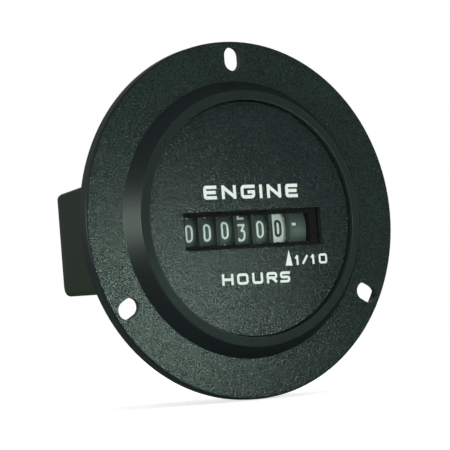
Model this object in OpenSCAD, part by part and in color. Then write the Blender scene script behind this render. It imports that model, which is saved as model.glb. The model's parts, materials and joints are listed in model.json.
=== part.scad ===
// Panel hour meter: a round bezel with three screw slots, a drum counter behind a window,
// and a stepper movement with its circuit board in a drafted case behind the panel.
// X runs to the right of the face, Y into the panel and Z up.
// The origin is the centre of the flange's back face, which seats on the panel.

/* [Face and bezel] */
// Diameter of the round face plate
face_d = 46.5; // [45:0.5:50]
// Thickness of the face plate
face_t = 1.1; // [1:0.05:1.6]
// Chamfer round the front of the face plate
face_edge = 0.15; // [0.1:0.05:0.4]
// Gap round the face plate in its seat
face_gap = 0.15; // [0.1:0.05:0.3]
// Width of the ledge that carries the face plate
ledge_w = 2.1; // [1.2:0.05:2.2]
// Width of the lip round the face plate
lip_w = 2; // [1.8:0.05:3]
// Rise of the lip from the crest to its inner edge
lip_rise = 0.3; // [0.1:0.05:0.6]
// Rounding of the lip's inner edge
lip_round = 0.15; // [0.1:0.05:0.3]
// Depth of the face plate below the lip's inner edge
face_recess = 1.05; // [0.6:0.05:1.2]
// Height of the crest in front of the flange
ring_h = 3.1; // [2.6:0.1:4]
// Radial run of the ring's sloping outer wall
ring_run = 2.1; // [1.5:0.1:3]
// Rounding of the crest
crest_round = 0.35; // [0.2:0.05:0.6]
// Width of the flat flange outside the ring
flange_w = 8; // [7.4:0.1:12]
// Thickness of the flange
flange_t = 2.5; // [2:0.1:3.5]
// Rounding of the flange's front edge
flange_round = 0.45; // [0.2:0.05:0.8]
// Depth of the hollow behind the flange, which leaves a seat at the rim and at the ring
relief_t = 1.2; // [0.3:0.1:1.3]
// Reach of that hollow beyond the slots and short of the ring
relief_margin = 0.25; // [0.1:0.05:0.4]

/* [Screw slots] */
// Number of screw slots round the flange
slot_count = 3; // [3:1:6]
// Width of a slot
slot_w = 3.6; // [3:0.1:4.4]
// Length of a slot along the radius, over its round ends
slot_l = 4.8; // [4.5:0.1:5.4]
// Material between a slot and the flange's rim
slot_rim_wall = 1.1; // [0.8:0.05:1.3]

/* [Window] */
// Room between the counter and the window's side edges, on average
window_side = 1.75; // [1:0.05:2.5]
// Distance of the window's middle to the right of the middle of the face
window_x = 0.45; // [-0.8:0.05:0.8]
// Height of the window
window_h = 7.5; // [6.5:0.1:9]
// Height of the window's middle above the middle of the face
window_z = -2.1; // [-4:0.1:0]
// Depth of the lens pane below the face
lens_recess = 0.6; // [0.3:0.1:0.8]
// Thickness of the lens flange behind the face plate
lens_flange_t = 0.7; // [0.5:0.05:1]
// Lap of the lens flange behind the face plate
lens_lap = 1.2; // [0.8:0.1:1.6]
// Gap round the lens pane in the window
lens_gap = 0.1; // [0.05:0.05:0.2]

/* [Case] */
// Thickness of the case walls
case_wall = 1.3; // [1:0.1:2]
// Draft of the case top in degrees
top_draft = 3.5; // [0.5:0.1:5]
// Draft of the case bottom in degrees
bottom_draft = 0.7; // [0.5:0.1:3]
// Draft of the case sides in degrees
side_draft = 0.4; // [0.2:0.1:1]
// Rounding of the case's long edges
case_edge_r = 0.8; // [0.4:0.1:1.2]
// Rounding of the case's rear bottom edge
heel_r = 2; // [1:0.1:3]
// Thickness of the round collar that seats in the bezel
collar_t = 2.6; // [2:0.1:3]
// Lap of the collar behind the bezel's ledge
collar_lap = 2.7; // [2:0.1:3]
// Gap round the collar in the bezel
collar_gap = 0.1; // [0.05:0.05:0.2]
// Gap between the inner frame and the case walls
frame_gap = 0.2; // [0.1:0.05:0.4]

/* [Terminals] */
// Width of a terminal blade
blade_w = 6.3; // [4.8:0.1:6.6]
// Thickness of a terminal blade
blade_t = 0.8; // [0.5:0.1:1]
// Length of a blade outside the case
blade_l = 8; // [7:0.1:10]
// Distance between the two blades
blade_pitch = 12.7; // [10:0.1:16]
// Bevel of a blade's tip
blade_bevel = 1.2; // [0.8:0.1:1.6]
// Width of a blade's tail through the circuit board
tail_w = 2; // [1.4:0.1:3]
// Length of the tail in front of the circuit board
tail_out = 0.8; // [0.5:0.1:1.2]
// Diameter of the catch hole in a blade
blade_hole_d = 1.7; // [1.2:0.1:2]
// Height of the pad that the blades come out of
blade_pad_t = 1.2; // [0.6:0.1:2]
// Border of the pad round the blades
blade_pad_w = 1.8; // [1:0.1:2.4]
// Gap round a blade in the case wall
blade_gap = 0.05; // [0.03:0.01:0.1]

/* [Counter] */
// Radius of the number wheels
wheel_r = 7; // [6.8:0.1:7.6]
// Width of a number wheel's rim
rim_w = 3; // [2.4:0.1:3.2]
// Thickness of a number wheel's rim
rim_t = 0.4; // [0.3:0.05:0.45]
// Gap between two rims
wheel_gap = 1.1; // [1:0.1:1.7]
// Width of the run indicator's rim
indicator_w = 3.8; // [3:0.1:4.5]
// Thickness of a wheel's web
web_t = 0.8; // [0.5:0.1:1.2]
// Radius of the boss inside a wheel
boss_r = 4.9; // [4:0.1:5]
// Radius of the wheel shaft
shaft_r = 1; // [0.8:0.05:1.1]
// Running clearance of a wheel on its shaft
run_gap = 0.03; // [0.02:0.01:0.06]
// Axial clearance between the parts in a wheel gap
axial_gap = 0.15; // [0.1:0.05:0.2]
// Clearance between the mask plate and the wheels
mask_gap = 0.3; // [0.2:0.05:0.6]
// Thickness of the mask plate
mask_t = 0.65; // [0.5:0.05:1]
// Height of the slot in the mask plate
mask_slot_h = 5.7; // [4:0.1:6]

/* [Transfer gears] */
// Module of the transfer gears
transfer_module = 0.6; // [0.58:0.005:0.61]
// Direction of the pinion shaft from the wheel shaft in degrees
pinion_angle = 54; // [50:1:75]
// Radius of the pinion shaft
pinion_shaft_r = 0.5; // [0.4:0.05:0.7]
// Radius of the disc that carries the two carry teeth
carry_r = 4.6; // [4:0.1:4.7]
// Height of the two carry teeth on their disc
carry_h = 0.6; // [0.4:0.05:0.6]
// Width of a carry tooth
carry_w = 0.4; // [0.3:0.05:0.6]
// Width of the carry notch between the two teeth
carry_notch_w = 0.7; // [0.5:0.05:1]
// Depth of the carry notch below the disc's edge
carry_notch_d = 0.75; // [0.4:0.05:1]
// Pressure angle of all gears in degrees
pressure_angle = 28; // [26:0.5:29]

/* [Movement] */
// Module of the gear that drives the run indicator
drive_module = 0.25; // [0.24:0.005:0.255]
// Module of the rotor's gear
rotor_module = 0.22; // [0.2:0.005:0.225]
// Width of the gear on the run indicator
drive_w = 0.6; // [0.4:0.05:1]
// Width of the large reduction gear
reduction_w = 0.5; // [0.4:0.05:0.8]
// Radius of the fixed pin of the reduction gear
idler_pin_r = 0.4; // [0.3:0.05:0.45]
// Radius of the rotor magnet
rotor_r = 1.6; // [1.2:0.1:1.8]
// Length of the rotor magnet
rotor_l = 1.5; // [1:0.1:2]
// Air gap round the rotor magnet
air_gap = 0.4; // [0.3:0.05:0.6]
// Thickness of the stator plate
stator_t = 0.8; // [0.6:0.1:1]
// Distance from the right cheek to the stator
stator_standoff = 2.95; // [2.6:0.05:4]
// Room between the stator and the bridge for the rotor's left end
bridge_reach = 2.2; // [2:0.1:3]
// Half of the stator's length
stator_half = 7.2; // [6.8:0.1:7.4]
// Width of the stator's bar
stator_bar_w = 6.4; // [5.6:0.1:7]
// Height of the stator's feet
foot_h = 2.4; // [2:0.1:2.8]
// Distance from the rotor to the coil
coil_offset = 7.8; // [7:0.1:10]
// Radius of the coil bobbin's flanges
coil_r = 2.8; // [2.4:0.1:3]
// Thickness of the coil core
core_t = 1.2; // [0.8:0.1:1.4]
// Width of the coil core
core_w = 2.4; // [1.8:0.1:2.6]
// Offset of the two movement posts from the rotor
post_offset = 5.6; // [5.2:0.1:5.8]
// Radius of the movement posts above their shoulder
post_r = 1; // [0.8:0.05:1.1]
// Width of the shoulder round a movement post
post_shoulder = 0.6; // [0.4:0.05:0.8]
// Step from a movement post down to its stub in the bridge
post_step = 0.25; // [0.2:0.05:0.4]
// Thickness of the bridge over the rotor
bridge_t = 1; // [0.8:0.1:1.4]
// Border of the bridge beside the shoulders of the posts
bridge_border = 0.8; // [0.4:0.1:1.2]
// Radius of the rotor's arbor
arbor_r = 0.5; // [0.45:0.05:0.55]
// Radius of the rotor's pivots
pivot_r = 0.3; // [0.2:0.05:0.4]
// Thickness of the coil bobbin's flanges
bobbin_flange_t = 0.6; // [0.4:0.05:0.8]
// Wall of the bobbin's barrel over the corners of the core
barrel_wall = 0.4; // [0.3:0.05:0.5]
// Depth of the winding below the edge of the bobbin's flanges
winding_drop = 0.25; // [0.1:0.05:0.4]

/* [Frame and circuit] */
// Thickness of the frame's side cheeks
cheek_t = 1; // [0.8:0.1:1.6]
// Room between the wheels and the bottom of the frame
room_below = 1.25; // [1.2:0.05:2]
// Room between the pinions and the top of the frame
room_above = 1.7; // [1.1:0.05:2]
// Width of the frame's cross bars
bar_w = 2; // [1.4:0.1:2.4]
// Thickness of the frame's lower cross bar
bar_t = 0.9; // [0.7:0.05:1]
// Thickness of the frame's upper cross bar
top_bar_t = 1.6; // [1:0.1:1.8]
// Gap between the wheels and the upper cross bar
bar_gap = 0.5; // [0.4:0.1:1]
// Room for the parts in front of the circuit board
part_room = 5.7; // [4:0.1:10]
// Thickness of the circuit board
board_t = 1.2; // [0.8:0.1:1.6]
// Room between the circuit board and the rear wall
solder_room = 6.1; // [4:0.1:9]
// Room above and below the circuit board
board_margin = 1.2; // [0.4:0.1:2]
// Gap between the circuit board and its rails
board_gap = 0.1; // [0.05:0.05:0.2]
// Width of the rails that hold the circuit board
rail_w = 1; // [0.6:0.1:1.6]
// Lap of the rails over the edges of the circuit board
rail_lap = 0.9; // [0.5:0.1:1.4]

/* [Circuit parts] */
// Length of the timer chip
chip_l = 5; // [4:0.1:7]
// Width of the timer chip
chip_w = 4; // [3:0.1:5]
// Thickness of the timer chip
chip_t = 1.5; // [1:0.1:2]
// Distance between two leads of the timer chip
chip_pitch = 1.27; // [1:0.01:1.3]
// Length of the crystal's can
crystal_l = 10.5; // [8:0.1:11]
// Width of the crystal's can
crystal_w = 4.6; // [3:0.1:5]
// Height of the crystal's can
crystal_h = 3.2; // [2:0.1:4]
// Width of the brim round the crystal's foot
crystal_brim = 0.3; // [0.2:0.05:0.5]
// Radius of the capacitor
capacitor_r = 2.5; // [2:0.1:3]
// Height of the capacitor
capacitor_h = 7; // [5:0.1:8]
// Width of the groove round the capacitor's foot
capacitor_groove = 0.5; // [0.3:0.05:0.8]
// Radius of the resistor
resistor_r = 1.15; // [0.8:0.05:1.4]
// Length of the resistor
resistor_l = 6; // [4:0.1:7]
// Radius of the diode
diode_r = 1.2; // [0.8:0.05:1.4]
// Length of the diode
diode_l = 4.6; // [4:0.1:6]
// Radius of the leads of the resistor and the diode
lead_r = 0.28; // [0.2:0.02:0.4]
// Length of a lead between the body and its bend
lead_run = 1.5; // [1:0.1:2]
// Gap between the bodies and the circuit board
part_lift = 0.3; // [0.2:0.05:0.5]

/* [Hidden] */
$fn = 64;
// Overshoot of a cut past the face it leaves
cut = 0.5;
// Gap of a pressed joint
press_gap = 0.01;
// Thickness of the slices that the case is stretched over, and the turn between those at its heel
slice_t = 0.01;
heel_step = 22.5;

// Bezel radii, from the face plate outwards
face_r = face_d / 2;
seat_r = face_r + face_gap;
bezel_hole_r = seat_r - ledge_w;
collar_seat_r = bezel_hole_r + collar_lap;
crest_r = seat_r + lip_w;
ring_base_r = crest_r + ring_run;
flange_r = ring_base_r + flange_w;
slot_circle_r = flange_r - slot_rim_wall - slot_l / 2;
relief_in_r = ring_base_r + relief_margin;
relief_out_r = flange_r - slot_rim_wall + relief_margin;
// Heights in front of the panel
crest_h = flange_t + ring_h;
lip_h = crest_h + lip_rise;
face_h = lip_h - face_recess;
seat_h = face_h - face_t;

// Teeth of the gear on a number wheel, two for each figure, and of a transfer pinion
wheel_teeth = 20;
pinion_teeth = 8;
// Teeth of the two large gears and the two small pinions between the rotor and the counter
large_teeth = 48;
small_teeth = 8;
// Tooth proportions, in modules, and the tooth clearance as a share of the module
addendum = 0.8;
dedendum = 1.05;
backlash = 0.1;
// Width of the arms that carry a transfer pinion's long teeth, as a share of its root radius
arm_share = 1.24;
// Height of the step from a tooth's root to its flank, in modules
foot_step = 0.02;
function pitch_r(teeth, m) = teeth * m / 2;
function tip_r(teeth, m) = pitch_r(teeth, m) + addendum * m;
function root_r(teeth, m) = pitch_r(teeth, m) - dedendum * m;

// Axes of the shafts in the Y Z plane
lens_mask_gap = 0.05;
mask_y = -seat_h + lens_flange_t + lens_mask_gap;
axle_y = mask_y + mask_t + mask_gap + wheel_r;
axle_z = window_z;
transfer_reach = pitch_r(wheel_teeth, transfer_module) + pitch_r(pinion_teeth, transfer_module);
pinion_y = axle_y + transfer_reach * cos(pinion_angle);
pinion_z = axle_z + transfer_reach * sin(pinion_angle);
idler_y = axle_y + pitch_r(large_teeth, drive_module) + pitch_r(small_teeth, drive_module);
rotor_y = idler_y + pitch_r(large_teeth, rotor_module) + pitch_r(small_teeth, rotor_module);
coil_y = rotor_y + coil_offset;

// Stations along the wheel shaft
decades = 6;
wheel_pitch = rim_w + wheel_gap;
train_l = decades * wheel_pitch + indicator_w;
train_x = -train_l / 2;
window_w = train_l + 2 * window_side;
side_w = (wheel_gap - axial_gap) / 2;
pinion_w = wheel_gap - 2 * axial_gap;
drive_x = train_x + train_l;
reduction_x = drive_x + drive_w + axial_gap;
cheek_x = reduction_x + reduction_w + axial_gap;
frame_x = cheek_x + cheek_t;
stator_x = cheek_x - stator_standoff - stator_t;
bridge_x = stator_x - bridge_reach - bridge_t;

// Movement posts and coil
shoulder_r = post_r + post_shoulder;
stub_r = post_r - post_step;
coil_l = 2 * (stator_half - foot_h) - 2 * axial_gap;
barrel_r = sqrt(core_t * core_t + core_w * core_w) / 2 + barrel_wall;

// Frame and case, sized round the movement
frame_z0 = axle_z - wheel_r - room_below;
frame_z1 = pinion_z + tip_r(pinion_teeth, transfer_module) + room_above;
left_end_y = axle_y + wheel_r + bar_w + bar_gap;
plate_end_y = coil_y + coil_r;
board_y = plate_end_y + part_room;
case_depth = board_y + board_t + solder_room + case_wall;
case_up = frame_z1 + frame_gap + case_wall + plate_end_y * tan(top_draft);
case_down = frame_z0 - frame_gap - case_wall - plate_end_y * tan(bottom_draft);
case_half = frame_x + frame_gap + case_wall + plate_end_y * tan(side_draft);
function case_top(y) = case_up - y * tan(top_draft);
function case_bottom(y) = case_down + y * tan(bottom_draft);
function case_side(y) = case_half - y * tan(side_draft);
board_half = case_side(board_y + board_t) - case_wall - 2 * board_gap;
board_z0 = case_bottom(board_y) + case_wall + board_margin;
board_z1 = case_top(board_y + board_t) - case_wall - board_margin;
blade_z = (board_z0 + board_z1) / 2;
// Places of the circuit parts, as shares of the board's half width and half height
chip_place = [0, 0.53];
crystal_place = [-0.55, 0.56];
capacitor_place = [-0.6, -0.47];
resistor_place = [0, -0.77];
diode_place = [0.66, -0.77];

// Points of a circular arc from angle a0 to a1
function arc(c, r, a0, a1, n = 6) =
    [for (i = [0:n]) c + r * [cos(a0 + (a1 - a0) * i / n), sin(a0 + (a1 - a0) * i / n)]];

// Outline of a rectangle with round corners
function round_rect(x0, x1, y0, y1, r) = concat(
    arc([x1 - r, y1 - r], r, 0, 90, 4),
    arc([x0 + r, y1 - r], r, 90, 180, 4),
    arc([x0 + r, y0 + r], r, 180, 270, 4),
    arc([x1 - r, y0 + r], r, 270, 360, 4));

// Half of an involute tooth's angle at radius r, in degrees
function involute(a) = tan(a) * 180 / PI - a;
function half_tooth(teeth, m, r) =
    let (base = pitch_r(teeth, m) * cos(pressure_angle))
    (PI / 2 - backlash) / teeth * 180 / PI + involute(pressure_angle)
    - (r > base ? involute(acos(base / r)) : 0);

// Outline of a spur gear with the first tooth centred on angle 0
function gear_outline(teeth, m, steps = 3) =
    let (root = root_r(teeth, m),
         foot = max(root + foot_step * m, pitch_r(teeth, m) * cos(pressure_angle)),
         tip = tip_r(teeth, m),
         radii = concat([root], [for (i = [0:steps]) foot + (tip - foot) * i / steps]),
         last = len(radii) - 1)
    [for (k = [0:teeth - 1], i = [0:2 * last + 1])
        let (r = radii[i <= last ? i : 2 * last + 1 - i],
             a = 360 * k / teeth + (i <= last ? -1 : 1) * half_tooth(teeth, m, r))
        r * [cos(a), sin(a)]];

// Drawing plane of the face: X across, Y up, Z out of the panel
module on_face(h = 0) {
    rotate([90, 0, 0]) translate([0, 0, h]) children();
}

// Drawing plane across a shaft at station x: X is depth, Y is height, Z runs along the shaft
module on_shaft(x, y = axle_y, z = axle_z) {
    translate([x, y, z]) rotate([90, 0, 90]) children();
}

module gear(teeth, m, w, turn = 0) {
    rotate(turn) linear_extrude(w) polygon(gear_outline(teeth, m));
}

module slot_shape() {
    straight = slot_l - slot_w;
    square([straight, slot_w], center = true);
    for (side = [-1, 1])
        translate([side * straight / 2, 0]) circle(d = slot_w);
}

module bezel_profile() {
    slope = atan2(ring_run, ring_h);
    rise = atan2(lip_rise, lip_w);
    polygon(concat(
        [[collar_seat_r, 0], [relief_in_r, 0], [relief_in_r, relief_t],
         [relief_out_r, relief_t], [relief_out_r, 0], [flange_r, 0]],
        arc([flange_r - flange_round, flange_t - flange_round], flange_round, 0, 90),
        [[ring_base_r, flange_t]],
        arc([crest_r - crest_round, crest_h - crest_round], crest_round, slope, 90 - rise),
        arc([seat_r + lip_round, lip_h - lip_round], lip_round, 90 - rise, 180),
        [[seat_r, seat_h], [bezel_hole_r, seat_h],
         [bezel_hole_r, collar_t], [collar_seat_r, collar_t]]));
}

module bezel_flange() {
    color("#3c4844") on_face() difference() {
        rotate_extrude($fn = 128) bezel_profile();
        for (k = [0:slot_count - 1])
            rotate(90 + 360 * k / slot_count)
                translate([slot_circle_r, 0, -cut])
                    linear_extrude(flange_t + 2 * cut) slot_shape();
    }
}

module face_plate() {
    color("#3e4a46") on_face(seat_h) difference() {
        union() {
            cylinder(r = face_r, h = face_t - face_edge);
            translate([0, 0, face_t - face_edge])
                cylinder(r1 = face_r, r2 = face_r - face_edge, h = face_edge);
        }
        translate([window_x - window_w / 2, window_z - window_h / 2, -cut])
            cube([window_w, window_h, face_t + 2 * cut]);
    }
}

module window_lens() {
    pane_w = window_w - 2 * lens_gap;
    pane_h = window_h - 2 * lens_gap;
    flange = [window_w + 2 * lens_lap, window_h + 2 * lens_lap, lens_flange_t];
    color([0.8, 0.9, 0.85, 0.3]) on_face(seat_h) translate([window_x, window_z, 0]) {
        translate([-flange.x / 2, -flange.y / 2, -lens_flange_t]) cube(flange);
        translate([-pane_w / 2, -pane_h / 2, 0]) cube([pane_w, pane_h, face_t - lens_recess]);
    }
}

// One thin slice of the case at depth y, inset at the sides and top, with the bottom raised
module case_slice(y, inset = 0, raise = 0) {
    side = case_side(y) - inset;
    translate([0, y, 0]) rotate([90, 0, 0]) linear_extrude(slice_t)
        polygon(round_rect(-side, side, case_bottom(y) + raise, case_top(y) - inset, case_edge_r));
}

module case_outside() {
    hull() {
        case_slice(-collar_t / 2);
        for (a = [0:heel_step:90])
            case_slice(case_depth - heel_r * (1 - sin(a)), case_edge_r * (1 - cos(a)) / 2,
                       heel_r * (1 - cos(a)));
    }
}

module case_inside() {
    rear = case_depth - case_wall;
    hull() for (y = [-collar_t - cut, rear]) {
        side = case_side(y) - case_wall;
        low = case_bottom(y) + case_wall;
        translate([-side, y - slice_t, low])
            cube([2 * side, slice_t, case_top(y) - case_wall - low]);
    }
}

// Two pairs of upright rails on the side walls, in front of and behind the board's edges
module board_rails() {
    inner = board_half - rail_lap;
    outer = board_half + case_wall;
    for (side = [-1, 1], y = [board_y - board_gap - rail_w, board_y + board_t + board_gap])
        translate([side > 0 ? inner : -outer, y, board_z0])
            cube([outer - inner, rail_w, board_z1 - board_z0]);
}

module blade_pad() {
    size = [blade_pitch + blade_t + 2 * blade_pad_w, blade_pad_t + case_wall,
            blade_w + 2 * blade_pad_w];
    translate([-size.x / 2, case_depth - case_wall, blade_z - size.z / 2]) cube(size);
}

module rear_case() {
    hole = [blade_t + 2 * blade_gap, case_wall + blade_pad_t + 2 * cut, blade_w + 2 * blade_gap];
    color("#2c3630") difference() {
        union() {
            difference() {
                union() {
                    case_outside();
                    on_face(collar_gap)
                        cylinder(r = collar_seat_r - collar_gap, h = collar_t - collar_gap);
                }
                case_inside();
            }
            board_rails();
            blade_pad();
        }
        for (side = [-1, 1])
            translate([side * blade_pitch / 2 - hole.x / 2, case_depth - case_wall - cut,
                       blade_z - hole.z / 2])
                cube(hole);
    }
}

// A blade with a narrow tail through the board and a bevelled tip with a catch hole
module terminal(side) {
    base_y = board_y + board_t;
    tip_y = case_depth + blade_pad_t + blade_l;
    hole_y = tip_y - blade_l / 2;
    color("#b9b6a8") on_shaft(side * blade_pitch / 2 - blade_t / 2, 0, blade_z)
        linear_extrude(blade_t) difference() {
            union() {
                translate([base_y - board_t - tail_out, -tail_w / 2])
                    square([board_t + tail_out + cut, tail_w]);
                polygon([[base_y, -blade_w / 2], [tip_y - blade_bevel, -blade_w / 2],
                         [tip_y, -blade_w / 2 + blade_bevel], [tip_y, blade_w / 2 - blade_bevel],
                         [tip_y - blade_bevel, blade_w / 2], [base_y, blade_w / 2]]);
            }
            translate([hole_y, 0]) circle(d = blade_hole_d);
        }
}

module terminal_left() { terminal(-1); }
module terminal_right() { terminal(1); }

// Mask plate with its slot, in front of the wheels
module mask_plate() {
    slot_x = train_l / 2 + mask_gap;
    difference() {
        translate([-frame_x, mask_y, frame_z0]) cube([2 * frame_x, mask_t, frame_z1 - frame_z0]);
        translate([-slot_x, mask_y - cut, axle_z - mask_slot_h / 2])
            cube([2 * slot_x, mask_t + 2 * cut, mask_slot_h]);
    }
}

// Side cheek from the mask plate back to depth end_y, with the two shaft holes
module cheek(x, end_y) {
    on_shaft(x, 0, 0) linear_extrude(cheek_t) difference() {
        translate([mask_y, frame_z0]) square([end_y - mask_y, frame_z1 - frame_z0]);
        translate([axle_y, axle_z]) circle(r = shaft_r + run_gap);
        translate([pinion_y, pinion_z]) circle(r = pinion_shaft_r + run_gap);
    }
}

// Stepped post: shoulder for the stator, shank through it, and a stub for the bridge
module movement_post(side) {
    on_shaft(0, rotor_y, axle_z + side * post_offset) {
        translate([0, 0, stator_x + stator_t])
            cylinder(r = shoulder_r, h = stator_standoff + cheek_t / 2);
        translate([0, 0, bridge_x + bridge_t])
            cylinder(r = post_r, h = cheek_x - bridge_x - bridge_t);
        translate([0, 0, bridge_x]) cylinder(r = stub_r, h = bridge_t + cut);
    }
}

module counter_frame() {
    color("#20282a") {
        mask_plate();
        cheek(-frame_x, left_end_y);
        difference() {
            cheek(cheek_x, plate_end_y);
            on_shaft(cheek_x - cut, idler_y) cylinder(r = idler_pin_r + press_gap, h = cheek_t + 2 * cut);
            on_shaft(cheek_x - cut, rotor_y) cylinder(r = pivot_r + run_gap, h = cheek_t + 2 * cut);
        }
        translate([-frame_x, left_end_y - bar_w, frame_z1 - top_bar_t])
            cube([2 * frame_x, bar_w, top_bar_t]);
        translate([-frame_x, bar_w, frame_z0]) cube([2 * frame_x, bar_w, bar_t]);
        for (side = [-1, 1]) movement_post(side);
    }
}

module wheel_shaft() {
    color("#c4c4c4") on_shaft(-frame_x) cylinder(r = shaft_r, h = 2 * frame_x);
}

module pinion_shaft() {
    color("#c4c4c4") on_shaft(-frame_x, pinion_y, pinion_z)
        cylinder(r = pinion_shaft_r, h = 2 * frame_x);
}

module idler_pin() {
    color("#c4c4c4") on_shaft(drive_x + axial_gap, idler_y)
        cylinder(r = idler_pin_r, h = frame_x - drive_x - axial_gap);
}

// Disc with two carry teeth and the notch between them, turned away from the pinion shaft
module carry_shape() {
    rotate(pinion_angle + 180) difference() {
        union() {
            circle(r = carry_r);
            for (side = [-1, 1])
                translate([carry_r - cut, side * (carry_notch_w + carry_w) / 2 - carry_w / 2])
                    square([cut + carry_h, carry_w]);
        }
        translate([carry_r - carry_notch_d, -carry_notch_w / 2])
            square([carry_notch_d + cut, carry_notch_w]);
    }
}

// Rim and boss joined by a web, with a hollow between them that starts at hollow_z
module wheel_body(w, hollow_z) {
    difference() {
        cylinder(r = wheel_r, h = w);
        difference() {
            translate([0, 0, hollow_z]) cylinder(r = wheel_r - rim_t, h = w - web_t + cut);
            translate([0, 0, -cut]) cylinder(r = boss_r, h = w + 2 * cut);
        }
    }
}

// Number wheel k from the left, with the driven gear on its right and the carry teeth on its left;
// the last wheel carries to nothing and has a spacer there instead
module number_wheel(k, tint, carries = true) {
    spacer_r = shaft_r + web_t;
    spacer_l = cheek_x + train_x - axial_gap;
    bore_l = spacer_l + wheel_pitch + 2 * cut;
    color(tint) on_shaft(train_x + k * wheel_pitch) difference() {
        union() {
            wheel_body(rim_w, web_t);
            translate([0, 0, rim_w]) gear(wheel_teeth, transfer_module, side_w, pinion_angle);
            if (carries) translate([0, 0, -side_w]) linear_extrude(side_w) carry_shape();
            else translate([0, 0, -spacer_l]) cylinder(r = spacer_r, h = spacer_l + rim_w);
        }
        translate([0, 0, -spacer_l - cut]) cylinder(r = shaft_r + run_gap, h = bore_l);
    }
}

module wheel_ten_thousands() { number_wheel(0, "#39433f", false); }
module wheel_thousands() { number_wheel(1, "#39433f"); }
module wheel_hundreds() { number_wheel(2, "#39433f"); }
module wheel_tens() { number_wheel(3, "#39433f"); }
module wheel_ones() { number_wheel(4, "#39433f"); }
module wheel_tenths() { number_wheel(5, "#e4e8e2"); }

// Wider drum at the right end, driven by the movement through the fine gear on its right
module run_indicator() {
    color("#39433f") on_shaft(train_x + decades * wheel_pitch) difference() {
        union() {
            wheel_body(indicator_w, -cut);
            translate([0, 0, indicator_w]) gear(large_teeth, drive_module, drive_w);
            translate([0, 0, -side_w]) linear_extrude(side_w) carry_shape();
        }
        translate([0, 0, -wheel_gap])
            cylinder(r = shaft_r + run_gap, h = indicator_w + 2 * wheel_gap);
    }
}

// Pinion in the gap right of wheel k: every second tooth is cut short on the carry side
module transfer_pinion(k) {
    turn = pinion_angle + 180 + 180 / pinion_teeth;
    short_w = side_w - axial_gap / 2;
    core_r = root_r(pinion_teeth, transfer_module);
    arm_w = arm_share * core_r;
    color("#d8d2b8")
        on_shaft(train_x + k * wheel_pitch + rim_w + axial_gap, pinion_y, pinion_z) difference() {
            union() {
                gear(pinion_teeth, transfer_module, short_w, turn);
                intersection() {
                    gear(pinion_teeth, transfer_module, pinion_w, turn);
                    union() {
                        cylinder(r = core_r, h = pinion_w);
                        for (a = [0, 90])
                            rotate(turn + a)
                                translate([-wheel_r, -arm_w / 2, 0])
                                    cube([2 * wheel_r, arm_w, pinion_w]);
                    }
                }
            }
            translate([0, 0, -cut])
                cylinder(r = pinion_shaft_r + run_gap, h = pinion_w + 2 * cut);
        }
}

module transfer_pinion_1() { transfer_pinion(0); }
module transfer_pinion_2() { transfer_pinion(1); }
module transfer_pinion_3() { transfer_pinion(2); }
module transfer_pinion_4() { transfer_pinion(3); }
module transfer_pinion_5() { transfer_pinion(4); }
module transfer_pinion_6() { transfer_pinion(5); }

// Large gear and small pinion in one piece, turning on the fixed pin
module reduction_gear() {
    pinion_x = drive_x + axial_gap;
    mesh_turn = 180 + 180 / small_teeth;
    color("#e6e2d2") on_shaft(pinion_x, idler_y) difference() {
        union() {
            gear(small_teeth, drive_module, reduction_x - pinion_x + reduction_w / 2, mesh_turn);
            translate([0, 0, reduction_x - pinion_x]) gear(large_teeth, rotor_module, reduction_w);
        }
        translate([0, 0, -cut]) cylinder(r = idler_pin_r + run_gap, h = wheel_gap + reduction_w);
    }
}

// Rotor arbor: pivots at both ends, the motor pinion near the right cheek
module rotor_arbor() {
    mesh_turn = 180 + 180 / small_teeth;
    left = bridge_x + bridge_t + axial_gap;
    right = cheek_x - axial_gap;
    color("#e6e2d2") {
        on_shaft(bridge_x, rotor_y) cylinder(r = pivot_r, h = frame_x - bridge_x);
        on_shaft(left, rotor_y) cylinder(r = arbor_r, h = right - left);
        on_shaft(reduction_x - axial_gap / 2, rotor_y)
            gear(small_teeth, rotor_module, right - reduction_x + axial_gap / 2, mesh_turn);
    }
}

module rotor_magnet() {
    color("#6b6e70") on_shaft(stator_x + (stator_t - rotor_l) / 2, rotor_y) difference() {
        cylinder(r = rotor_r, h = rotor_l);
        translate([0, 0, -cut]) cylinder(r = arbor_r + press_gap, h = rotor_l + 2 * cut);
    }
}

// Stator plate: a bar round the rotor with two saturation notches and two feet to the coil core
module stator() {
    notch_r = 0.35;
    hole_r = rotor_r + air_gap;
    color("#9aa0a2") on_shaft(stator_x, rotor_y) linear_extrude(stator_t) difference() {
        union() {
            translate([-stator_bar_w / 2, -stator_half]) square([stator_bar_w, 2 * stator_half]);
            for (side = [-1, 1])
                translate([0, side * (stator_half - foot_h / 2) - foot_h / 2])
                    square([coil_offset + core_w / 2, foot_h]);
        }
        circle(r = hole_r);
        for (side = [-1, 1]) {
            translate([0, side * post_offset]) circle(r = post_r + run_gap);
            rotate(45) translate([side * hole_r, 0]) circle(r = notch_r);
        }
    }
}

module coil_core() {
    color("#9aa0a2") translate([stator_x - core_t, coil_y - core_w / 2, axle_z - stator_half])
        cube([core_t, core_w, 2 * stator_half]);
}

// Foot of the coil, between the stator's feet, with Z along the coil
module on_coil(z = 0) {
    translate([stator_x - core_t / 2, coil_y, axle_z - coil_l / 2 + z]) children();
}

module coil_bobbin() {
    fit = 0.05;
    color("#2d5c46") on_coil() difference() {
        union() {
            cylinder(r = barrel_r, h = coil_l);
            for (z = [0, coil_l - bobbin_flange_t])
                translate([0, 0, z]) cylinder(r = coil_r, h = bobbin_flange_t);
        }
        translate([-core_t / 2 - fit, -core_w / 2 - fit, -cut])
            cube([core_t + 2 * fit, core_w + 2 * fit, coil_l + 2 * cut]);
    }
}

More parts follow.
